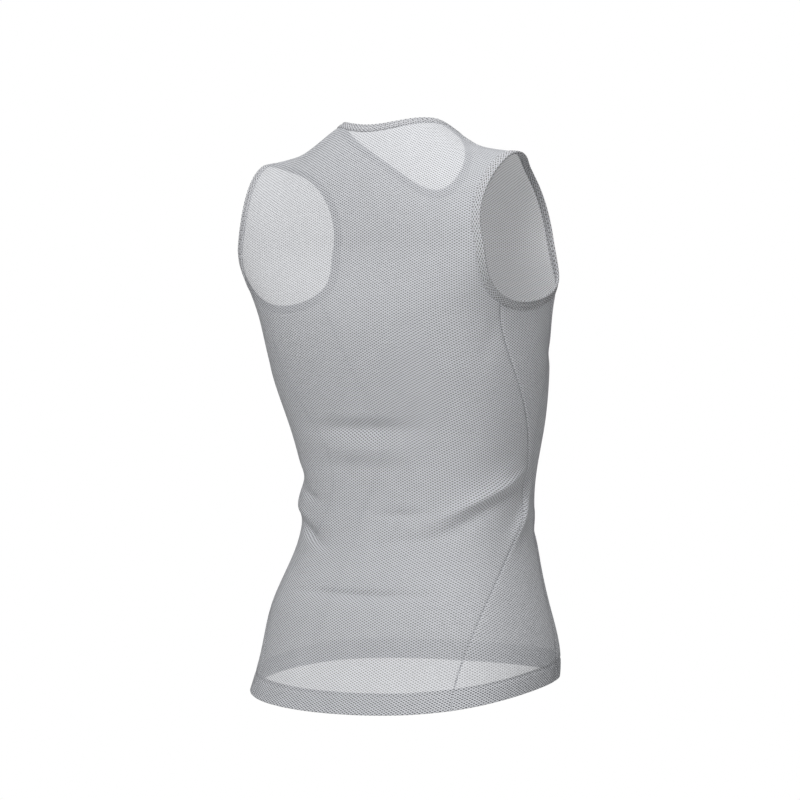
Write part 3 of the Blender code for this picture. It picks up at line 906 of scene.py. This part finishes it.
def stitches(name, lines, material):
    """Stitches along closed or open lines: each is a short thread with rounded ends, along the
    line, half sunk into the cloth. A line is its points, its normals and whether it is closed."""
    sewing = bpy.context.scene.base_layer_sewing
    centres, tangents, normals = [], [], []
    for points, normal, closed in lines:
        if closed:
            points, normal = (np.concatenate([a, a[:1]]) for a in (points, normal))
        length = running_length(points)
        count = int(length[-1] / sewing.pitch)
        at = (np.arange(count) + 0.5) / count * length[-1]
        reach = sewing.length / 2
        place, before, after = (
            np.stack([np.interp(s, length, row) for row in points.T], -1)
            for s in (at, np.maximum(at - reach, 0), np.minimum(at + reach, length[-1]))
        )
        centres.append(place)
        tangents.append(unit(after - before))
        normals.append(unit(np.stack([np.interp(at, length, row) for row in normal.T], -1)))
    centre, tangent, normal = (
        np.concatenate(a)[:, None, None] for a in (centres, tangents, normals)
    )
    side = np.cross(normal, tangent)
    way, width = np.array(STITCH_RINGS).T[..., None, None]
    turn = 2 * math.pi * np.arange(STITCH_SIDES)[:, None] / STITCH_SIDES
    radius = sewing.thickness / 2 * width
    points = (
        centre
        + tangent * way * sewing.length / 2
        + side * radius * np.cos(turn)
        + normal * (radius * np.sin(turn) + 0.2 * sewing.thickness * (1 - 2 * way**4))
    )
    index = numbered(*points.shape[:3])
    around = np.roll(index, -1, axis=2)
    body = np.stack([index[:, :-1], around[:, :-1], around[:, 1:], index[:, 1:]], -1).reshape(-1, 4)
    ends = np.concatenate([index[:, 0, ::-1], index[:, -1]])
    caps = np.concatenate([ends[:, [0, 1, 2, 3]], ends[:, [0, 3, 4, 5]]])
    faces = np.concatenate([body, caps])
    along = np.broadcast_to(way * sewing.length / 2, points.shape[:3] + (1,))
    girth = np.broadcast_to(turn * sewing.thickness / 2, points.shape[:3] + (1,))
    measure = np.concatenate([along, girth], -1).reshape(-1, 2)
    return mesh_object(name, points, faces, measure[faces], material)


CORD_SECTION = ((1.0, 0.0), (0.7, 0.75), (0.0, 1.0), (-0.7, 0.75), (-1.0, 0.0), (0.0, -0.35))
CORD_HALF_WIDTH = 0.0008
CORD_HALF_HEIGHT = 0.0006
CORD_UNDER = 0.0007  # how far the overlocked edges lie inside the sheet


def overlocked(name, lines, material):
    """The joined edges of two panels inside a seam: a flat cord along each line."""
    all_points, all_faces, all_measures, used = [], [], [], 0
    for line, normal in lines:
        along = unit(np.gradient(line, axis=0))
        side = np.cross(normal, along)
        length = running_length(line)
        flat, deep = np.array(CORD_SECTION).T[..., None, None]
        points = line - normal * CORD_UNDER + side * flat * CORD_HALF_WIDTH
        points = points - normal * deep * CORD_HALF_HEIGHT
        index = numbered(*points.shape[:2]) + used
        beyond = np.roll(index, -1, axis=0)
        body = np.stack([index[:, :-1], index[:, 1:], beyond[:, 1:], beyond[:, :-1]], -1)
        caps = [index[[0, 1, 2, 3], 0], index[[0, 3, 4, 5], 0]]
        caps += [index[[3, 2, 1, 0], -1], index[[5, 4, 3, 0], -1]]
        all_faces += [body.reshape(-1, 4), np.array(caps)]
        all_points.append(points.reshape(-1, 3))
        girth = np.arange(len(points))[:, None] * CORD_HALF_WIDTH
        measure = np.stack(np.broadcast_arrays(length[None], girth), -1)
        all_measures.append(measure.reshape(-1, 2))
        used += index.size
    faces, measures = np.concatenate(all_faces), np.concatenate(all_measures)
    return mesh_object(name, np.concatenate(all_points), faces, measures[faces], material)


# Materials


def node(tree, kind, inputs=(), **settings):
    """Adds a node with its settings. Inputs are given by name or number, each as a value or as
    another node's output. Gives back the node's first output in use."""
    made = tree.nodes.new(kind)
    for name, value in settings.items():
        setattr(made, name, value)
    for key, value in dict(inputs).items():
        found = made.inputs[key]
        if isinstance(key, str):
            found = next(s for s in made.inputs if s.enabled and s.name == key)
        if isinstance(value, bpy.types.NodeSocket):
            tree.links.new(value, found)
        else:
            found.default_value = value
    return next((s for s in made.outputs if s.enabled), None)


def new_material(name):
    """A material with an empty node tree and its output."""
    material = bpy.data.materials.new(name)
    material.use_nodes = True
    material.node_tree.nodes.clear()
    return material, material.node_tree


# Matt polyester yarn, with a faint gleam and a little fuzz
YARN_SURFACE = {
    "Roughness": 0.78,
    "Specular IOR Level": 0.35,
    "Sheen Weight": 0.04,
    "Sheen Roughness": 0.5,
}
# Where the yarn round a hole begins and is full, from the hole's middle in radii of the hole
COVER_STEP = (0.6, 1.3)
# over the next step the painted shade of a pit fades out into the yarn's full colour
PAINTED_SHADE_STEP = (0.5, 1.4)
BAR_STEP = (0.5, 2.2)
# Painted shade: share of the yarn's colour left at the bottom of a pit, for the shade that lies in it
PAINTED_PIT_SHADE = 0.2
# in the doubled hem the pits get deeper painted shade, for the shadow that the second layer casts
DOUBLED_PAINTED_PIT_SHADE = 0.05
BINDING_PAINTED_PIT_SHADE = 0.15
DOUBLED_COVER = 0.92  # of the hem's two layers
KNIT_BUMP = 0.0003
BINDING_BUMP = 0.0006
LOOP_SHARE = 0.22  # of the bars' height
FUZZ_SHARE = 0.35


def hole_distance(tree, measure, knit):
    """Distance from the nearest hole's middle, 1 on its edge. The holes are ellipses in staggered
    rows: two like lattices, the second one half a repeat across and up."""
    radii = (knit.hole_width / 2, knit.hole_height / 2)
    repeat = (knit.repeat_across, knit.repeat_up)
    distances = []
    for shift in (0.0, 0.5):
        cell = node(
            tree,
            "ShaderNodeVectorMath",
            {0: measure, 1: (1 / repeat[0], 1 / repeat[1], 0), 2: (shift, shift, 0)},
            operation="MULTIPLY_ADD",
        )
        place = node(tree, "ShaderNodeVectorMath", {0: cell}, operation="FRACTION")
        place = node(
            tree, "ShaderNodeVectorMath", {0: place, 1: (0.5, 0.5, 0)}, operation="SUBTRACT"
        )
        scale = (repeat[0] / radii[0], repeat[1] / radii[1], 0)
        place = node(tree, "ShaderNodeVectorMath", {0: place, 1: scale}, operation="MULTIPLY")
        distances.append(node(tree, "ShaderNodeVectorMath", {0: place}, operation="LENGTH"))
    return node(tree, "ShaderNodeMath", {0: distances[0], 1: distances[1]}, operation="MINIMUM")


def smooth_step(tree, value, low, high, start=0.0, end=1.0):
    """A value's smooth rise from start at low to end at high."""
    inputs = {"Value": value, "From Min": low, "From Max": high, "To Min": start, "To Max": end}
    return node(tree, "ShaderNodeMapRange", inputs, interpolation_type="SMOOTHSTEP")


LOOP_WIDTH = 0.00062  # of one knitted loop
LOOP_HEIGHT = 0.00048


def loops(tree, measure):
    """Height of the knitted loops: a sine across times a sine up, from -1 to 1."""
    scale = (2 * math.pi / LOOP_WIDTH, 2 * math.pi / LOOP_HEIGHT, 0)
    phase = node(tree, "ShaderNodeVectorMath", {0: measure, 1: scale}, operation="MULTIPLY")
    wave = node(tree, "ShaderNodeVectorMath", {0: phase}, operation="SINE")
    split = tree.nodes.new("ShaderNodeSeparateXYZ")
    tree.links.new(wave, split.inputs[0])
    return node(
        tree, "ShaderNodeMath", {0: split.outputs[0], 1: split.outputs[1]}, operation="MULTIPLY"
    )


def stretched_measure(tree):
    """The grain's measure, moved by up to 0.2 mm, as a knit's rows wander."""
    measure = tree.nodes.new("ShaderNodeUVMap")
    measure.uv_map = "grain"
    inputs = {"Vector": measure.outputs[0], "Scale": 90.0, "Detail": 1.0}
    noise = node(tree, "ShaderNodeTexNoise", inputs, noise_dimensions="2D").node
    wander = noise.outputs["Color"]
    shift = node(
        tree,
        "ShaderNodeVectorMath",
        {0: wander, 1: (0.0004, 0.0004, 0), 2: (-0.0002, -0.0002, 0)},
        operation="MULTIPLY_ADD",
    )
    return node(tree, "ShaderNodeVectorMath", {0: measure.outputs[0], 1: shift}, operation="ADD")


def yarn_colour_with_painted_shade(tree, measure, colour, holes, painted_shade_in_holes):
    """The yarn's colour, a little uneven over the cloth, with painted shade that darkens it in and
    round each hole.
    """
    cloudy = node(
        tree,
        "ShaderNodeTexNoise",
        {"Vector": measure, "Scale": 45.0, "Detail": 4.0, "Roughness": 0.65},
        noise_dimensions="2D",
    )
    tone_and_painted_shade = node(
        tree, "ShaderNodeMapRange", {"Value": cloudy, "To Min": 0.955, "To Max": 1.045}
    )
    # painted shade: the colour falls towards each hole's middle, where the pit lies in shade
    painted_rim_shade = smooth_step(tree, holes, *PAINTED_SHADE_STEP, painted_shade_in_holes)
    tone_and_painted_shade = node(tree, "ShaderNodeMath", {0: tone_and_painted_shade, 1: painted_rim_shade}, operation="MULTIPLY")
    return node(
        tree, "ShaderNodeVectorMath", {0: tuple(colour), "Scale": tone_and_painted_shade}, operation="SCALE"
    )


def knit_bump(tree, measure, holes, depth):
    """Bump of the knit: rounded bars between the holes, with loops and a little fuzz on them."""
    bars = smooth_step(tree, holes, *BAR_STEP)
    fuzz = node(
        tree,
        "ShaderNodeTexNoise",
        {"Vector": measure, "Scale": 2600.0, "Detail": 2.0},
        noise_dimensions="2D",
    )
    height = bars
    for part, share in ((loops(tree, measure), LOOP_SHARE), (fuzz, FUZZ_SHARE)):
        inputs = {0: part, 1: share, 2: height}
        height = node(tree, "ShaderNodeMath", inputs, operation="MULTIPLY_ADD")
    return node(tree, "ShaderNodeBump", {"Height": height, "Strength": 0.25, "Distance": depth})


def mesh_knit():
    """Polyester micro-mesh, warp knitted: matt, with staggered rows of small pits darkened with
    painted shade. It is thin enough for the layer or the light behind to show, so it is palest where
    it is single."""
    knit = bpy.context.scene.base_layer_knit
    material, tree = new_material(MESH_KNIT)
    measure = stretched_measure(tree)
    holes = hole_distance(tree, measure, knit)
    doubled = tree.nodes.new("ShaderNodeAttribute")
    doubled.attribute_name = "doubled"
    doubled = doubled.outputs["Fac"]
    # painted shade of the pits, deeper in the doubled hem for the second layer's shadow; the higher
    # cover there is the real second layer
    shade, cover = (
        node(tree, "ShaderNodeMapRange", {"Value": doubled, "To Min": single, "To Max": double})
        for single, double in ((PAINTED_PIT_SHADE, DOUBLED_PAINTED_PIT_SHADE), (knit.cover, DOUBLED_COVER))
    )
    inputs = {
        **YARN_SURFACE,
        "Base Color": yarn_colour_with_painted_shade(tree, measure, knit.colour, holes, shade),
        "Normal": knit_bump(tree, measure, holes, KNIT_BUMP),
        "Alpha": smooth_step(tree, holes, *COVER_STEP, knit.hole_cover, cover),
    }
    shader = node(tree, "ShaderNodeBsdfPrincipled", inputs)
    node(tree, "ShaderNodeOutputMaterial", {"Surface": shader})
    return material


def binding_knit():
    """The same mesh, folded to four layers: its holes only show as pits, darkened with painted shade.
    """
    strip = bpy.context.scene.base_layer_binding
    material, tree = new_material("Folded micro-mesh binding")
    measure = stretched_measure(tree)
    holes = hole_distance(tree, measure, bpy.context.scene.base_layer_knit)
    inputs = {
        **YARN_SURFACE,
        "Base Color": yarn_colour_with_painted_shade(tree, measure, strip.colour, holes, BINDING_PAINTED_PIT_SHADE),
        "Normal": knit_bump(tree, measure, holes, BINDING_BUMP),
        "Alpha": strip.cover,
    }
    shader = node(tree, "ShaderNodeBsdfPrincipled", inputs)
    node(tree, "ShaderNodeOutputMaterial", {"Surface": shader})
    return material


TWIST_PITCH = 0.0005  # of the thread's plies


def sewing_thread():
    """Bulked polyester thread, spun and twisted: a soft gleam from its sheen, and painted shade that
    darkens its colour between the slanting plies.
    """
    material, tree = new_material("Bulked polyester thread")
    measure = tree.nodes.new("ShaderNodeUVMap")
    measure.uv_map = "grain"
    twist = 2 * math.pi / TWIST_PITCH
    inputs = {0: measure.outputs[0], 1: (twist, twist, 0)}
    slant = node(tree, "ShaderNodeVectorMath", inputs, operation="DOT_PRODUCT")
    plies = node(tree, "ShaderNodeMath", {0: slant}, operation="SINE")
    colour = bpy.context.scene.base_layer_sewing.colour
    # painted shade: the colour falls to 0.8 of itself in the grooves between the plies
    inputs = {"Value": plies, "From Min": -1.0, "To Min": 0.8}
    inputs = {0: tuple(colour), "Scale": node(tree, "ShaderNodeMapRange", inputs)}
    tone_and_painted_shade = node(tree, "ShaderNodeVectorMath", inputs, operation="SCALE")
    inputs = {"Height": plies, "Strength": 0.5, "Distance": 0.0001}
    relief = node(tree, "ShaderNodeBump", inputs)
    inputs = {"Base Color": tone_and_painted_shade, "Roughness": 0.55, "Sheen Weight": 0.2, "Normal": relief}
    shader = node(tree, "ShaderNodeBsdfPrincipled", inputs)
    node(tree, "ShaderNodeOutputMaterial", {"Surface": shader})
    return material


def floor_paint():
    """Pale matt paint, rolled on: nearly white, with a faint orange peel."""
    material, tree = new_material("Pale matt paint")
    place = tree.nodes.new("ShaderNodeTexCoord").outputs["Object"]
    peel = node(tree, "ShaderNodeTexNoise", {"Vector": place, "Scale": 220.0, "Detail": 3.0})
    inputs = {
        "Base Color": (*linear("#F4F4F3"), 1),
        "Roughness": 0.7,
        "Normal": node(tree, "ShaderNodeBump", {"Height": peel, "Strength": 0.1, "Distance": 0.001}),
    }
    shader = node(tree, "ShaderNodeBsdfPrincipled", inputs)
    node(tree, "ShaderNodeOutputMaterial", {"Surface": shader})
    return material


# Pieces


def neck_edge(on_back):
    """The back's or the front's edge at the neck, tucked into the binding."""
    over_back, over_front = neck_stations()
    return neck_line(over_back if on_back else over_front, BINDING_WIDTH - TUCK, on_back)


def body_grid(on_back):
    """The grid of the back or the front."""
    down_back, _, up_front = armhole_stations()
    up_armhole = down_back[::-1] if on_back else up_front
    seam, up_armhole[0] = seam_edge("back_angle" if on_back else "front_angle")
    neck = neck_edge(on_back)
    neck_angle = neck[0, -1 if on_back else 0]
    return body_panel(panel_side(seam, read(armhole_rim(), up_armhole), neck_angle), neck)


def side_grid():
    """The left side panel's grid."""
    _, under_arm, _ = armhole_stations()
    near, under_arm[0] = seam_edge("back_angle")
    far, under_arm[-1] = seam_edge("front_angle")
    return spanned(near, far, read(armhole_rim(), under_arm))


def neck_strip():
    """The neck binding's panel side and finished edge."""
    turns = np.concatenate([over[:-1] for over in neck_stations()])
    return neck_line(turns, BINDING_WIDTH), neck_line(turns, 0)


def armhole_strips():
    """The panel side and finished edge of each armhole binding."""
    stations = np.unique(np.concatenate(armhole_stations()))[:-1]
    edge = armhole_line()
    left = read(inset(edge, BINDING_WIDTH), stations), read(edge, stations)
    return {"left": left, "right": [mirrored(line) for line in left]}


def strip_rows(strip):
    """The lines of stitches on a binding's outer face, at the bottom of its two dips."""
    middle, across, normal = strip_frame(*strip)
    lines = []
    for row in STITCH_ROWS:
        lift = np.interp(row, *np.array(STRIP).T) * BINDING_THICKNESS / 2
        lines.append((middle + across * row + normal * lift, normal, True))
    return lines


def side_seams(dip):
    """The four side seams and two shoulder seams, at the bottom of their dip, with normals."""
    lines = []
    for side in ("back_angle", "front_angle"):
        edge, _ = seam_edge(side)
        for curve in (edge, np.stack([-edge[0], edge[1]])):
            lines.append(cloth(curve[0], curve[1], SHEET_DEPTH + dip))
    neck = neck_edge(on_back=True)
    angle = np.linspace(armhole_rim()[0, 0], neck[0, -1], SHOULDER_ROWS + 1)
    level = np.full_like(angle, SHOULDER_RISE)
    for turn in (angle, -angle):
        lines.append(cloth(turn, level, SHEET_DEPTH + dip))
    return lines


def hem_rows():
    """The line of the hem's stitches round the garment, on its outer face."""
    angle = np.linspace(0, 2 * math.pi, 2 * CURVE_POINTS, endpoint=False)
    level = hem_level(angle) + HEM_STITCH
    return [(*cloth(angle, level, SHEET_DEPTH + HEM_STITCH_DIP), True)]


class BASELAYER_OT_back(bpy.types.Operator):
    """Make the back, one piece from neck to hem"""

    bl_idname = "base_layer.back"
    bl_label = "Back"

    def execute(self, context):
        knitted_panel("back_knit", "back_panel", body_grid(on_back=True), 0.0)
        return {"FINISHED"}


class BASELAYER_OT_front(bpy.types.Operator):
    """Make the front, one piece from neck to hem"""

    bl_idname = "base_layer.front"
    bl_label = "Front"

    def execute(self, context):
        knitted_panel("front_knit", "front_panel", body_grid(on_back=False), math.pi)
        return {"FINISHED"}


class BASELAYER_OT_side_panels(bpy.types.Operator):
    """Make the two side panels"""

    bl_idname = "base_layer.side_panels"
    bl_label = "Side panels"

    def execute(self, context):
        left = side_grid()
        right = np.stack([-left[0], left[1]])[..., ::-1]
        quarter_turn = math.pi / 2
        knitted_panel("side_knit_left", "side_panel_left", left, quarter_turn)
        knitted_panel("side_knit_right", "side_panel_right", right, -quarter_turn)
        return {"FINISHED"}


class BASELAYER_OT_bindings(bpy.types.Operator):
    """Make the bindings of the neck and of the two armholes"""

    bl_idname = "base_layer.bindings"
    bl_label = "Bindings"

    def execute(self, context):
        material = binding_knit()
        binding("neck_strip", "neck_binding", *neck_strip(), material)
        for side, strip in armhole_strips().items():
            binding(f"armhole_strip_{side}", f"armhole_binding_{side}", *strip, material)
        return {"FINISHED"}


class BASELAYER_OT_sewing(bpy.types.Operator):
    """Make the stitches of the bindings and hem, and the overlocked edges inside the seams"""

    bl_idname = "base_layer.sewing"
    bl_label = "Sewing"

    def execute(self, context):
        thread = sewing_thread()
        stitches("neck_stitches", strip_rows(neck_strip()), thread)
        for side, strip in armhole_strips().items():
            stitches(f"armhole_stitches_{side}", strip_rows(strip), thread)
        stitches("hem_stitches", hem_rows(), thread)
        overlocked("overlocked_seams", side_seams(context.scene.base_layer_knit.seam_dip), thread)
        return {"FINISHED"}


# Stage

TARGET = (0.0032, 0.0022, -0.2726)  # what the camera looks at

# Soft boxes, placed by their angle round the garment and their elevation, in degrees
SoftBox = namedtuple("SoftBox", "name azimuth elevation distance width power")
SOFT_BOXES = (
    SoftBox("key", 198, 20, 2.6, 0.8, 25.5),
    SoftBox("high key", 190, 42, 2.4, 0.8, 12.0),
    SoftBox("high", 215, 42, 2.4, 0.8, 6.0),
    SoftBox("top", 200, 85, 1.9, 1.6, 15.0),
    SoftBox("side", 290, 20, 2.0, 1.2, 5.0),
    SoftBox("front", 35, 45, 2.0, 1.6, 6.0),
)
FLOOR_RADIUS = 1.9
FLOOR_POINTS = 96


def direction(azimuth, elevation):
    """From the garment towards a camera or lamp at those angles, in radians."""
    level = math.cos(elevation)
    return Vector((math.sin(azimuth) * level, -math.cos(azimuth) * level, math.sin(elevation)))


def soft_box(box, strength):
    """A square area lamp that faces the garment."""
    lamp = bpy.data.lights.new(box.name, "AREA")
    lamp.size = box.width
    lamp.energy = box.power * strength
    made = bpy.data.objects.new(box.name, lamp)
    way = direction(math.radians(box.azimuth), math.radians(box.elevation))
    made.location = Vector(TARGET) + way * box.distance
    made.rotation_euler = way.to_track_quat("Z", "Y").to_euler()
    made.visible_camera = False
    bpy.data.collections[COLLECTION].objects.link(made)


def floor(drop):
    """A round pale floor: rings of points from the middle outwards."""
    radius = FLOOR_RADIUS * np.array([0.0, 0.3, 0.7, 1.0])[:, None]
    turn = -2 * math.pi * np.arange(FLOOR_POINTS + 1) / FLOOR_POINTS
    x, y = radius * np.cos(turn), radius * np.sin(turn)
    points = np.stack([x, y, np.full_like(x, -drop)], -1)
    faces = quads(*points.shape[:2])
    uv = points[..., :2].reshape(-1, 2)[faces.reshape(-1, 4)]
    made = mesh_object("floor", points, faces, uv, floor_paint())


class BASELAYER_OT_stage(bpy.types.Operator):
    """Make the floor, the white surroundings, the soft boxes and the camera"""

    bl_idname = "base_layer.stage"
    bl_label = "Stage"

    def execute(self, context):
        scene, stage = context.scene, context.scene.base_layer_stage
        scene.view_settings.view_transform = "Standard"
        world = bpy.data.worlds.new("White surroundings")
        world.use_nodes = True
        world.node_tree.nodes["Background"].inputs["Color"].default_value = (1, 1, 1, 1)
        world.node_tree.nodes["Background"].inputs["Strength"].default_value = 1.0
        world.cycles_visibility.diffuse = False
        world.cycles_visibility.glossy = False
        scene.world = world
        floor(stage.floor_drop)
        for box in SOFT_BOXES:
            soft_box(box, stage.light)
        lens = bpy.data.cameras.new("camera")
        lens.lens = stage.lens
        lens.sensor_width = 36.0
        camera = bpy.data.objects.new("camera", lens)
        way = direction(stage.azimuth, stage.elevation)
        camera.location = Vector(TARGET) + way * stage.distance
        camera.rotation_euler = way.to_track_quat("Z", "Y").to_euler()
        bpy.data.collections[COLLECTION].objects.link(camera)
        scene.camera = camera
        return {"FINISHED"}


class BASELAYER_PT_panel(bpy.types.Panel):
    """Sizes, colours and pieces of the base layer"""

    bl_idname = "BASELAYER_PT_panel"
    bl_label = "Base layer"
    bl_space_type = "VIEW_3D"
    bl_region_type = "UI"
    bl_category = "Base layer"

    def draw(self, context):
        for group in SETTINGS:
            box = self.layout.box()
            box.label(text=group.__doc__)
            settings = getattr(context.scene, SETTINGS[group])
            for name in group.__annotations__:
                box.prop(settings, name)
        for operator in OPERATORS:
            self.layout.operator(operator.bl_idname)


SETTINGS = {
    BASELAYER_KnitSettings: "base_layer_knit",
    BASELAYER_BindingSettings: "base_layer_binding",
    BASELAYER_SewingSettings: "base_layer_sewing",
    BASELAYER_StageSettings: "base_layer_stage",
}
OPERATORS = (
    BASELAYER_OT_back,
    BASELAYER_OT_front,
    BASELAYER_OT_side_panels,
    BASELAYER_OT_bindings,
    BASELAYER_OT_sewing,
    BASELAYER_OT_stage,
)


def register():
    for group, name in SETTINGS.items():
        bpy.utils.register_class(group)
        setattr(bpy.types.Scene, name, bpy.props.PointerProperty(type=group))
    for operator in OPERATORS:
        bpy.utils.register_class(operator)
    bpy.utils.register_class(BASELAYER_PT_panel)


def unregister():
    bpy.utils.unregister_class(BASELAYER_PT_panel)
    for operator in reversed(OPERATORS):
        bpy.utils.unregister_class(operator)
    for group, name in SETTINGS.items():
        delattr(bpy.types.Scene, name)
        bpy.utils.unregister_class(group)


# The cut, as width and length of each flat piece with its hem, and its area
Cut = namedtuple("Cut", "piece width length area")


def main():
    register()
    collection = bpy.data.collections.new(COLLECTION)
    bpy.context.scene.collection.children.link(collection)
    bpy.ops.base_layer.back()
    bpy.ops.base_layer.front()
    bpy.ops.base_layer.side_panels()
    bpy.ops.base_layer.bindings()
    bpy.ops.base_layer.sewing()
    bpy.ops.base_layer.stage()


if __name__ == "__main__":
    main()
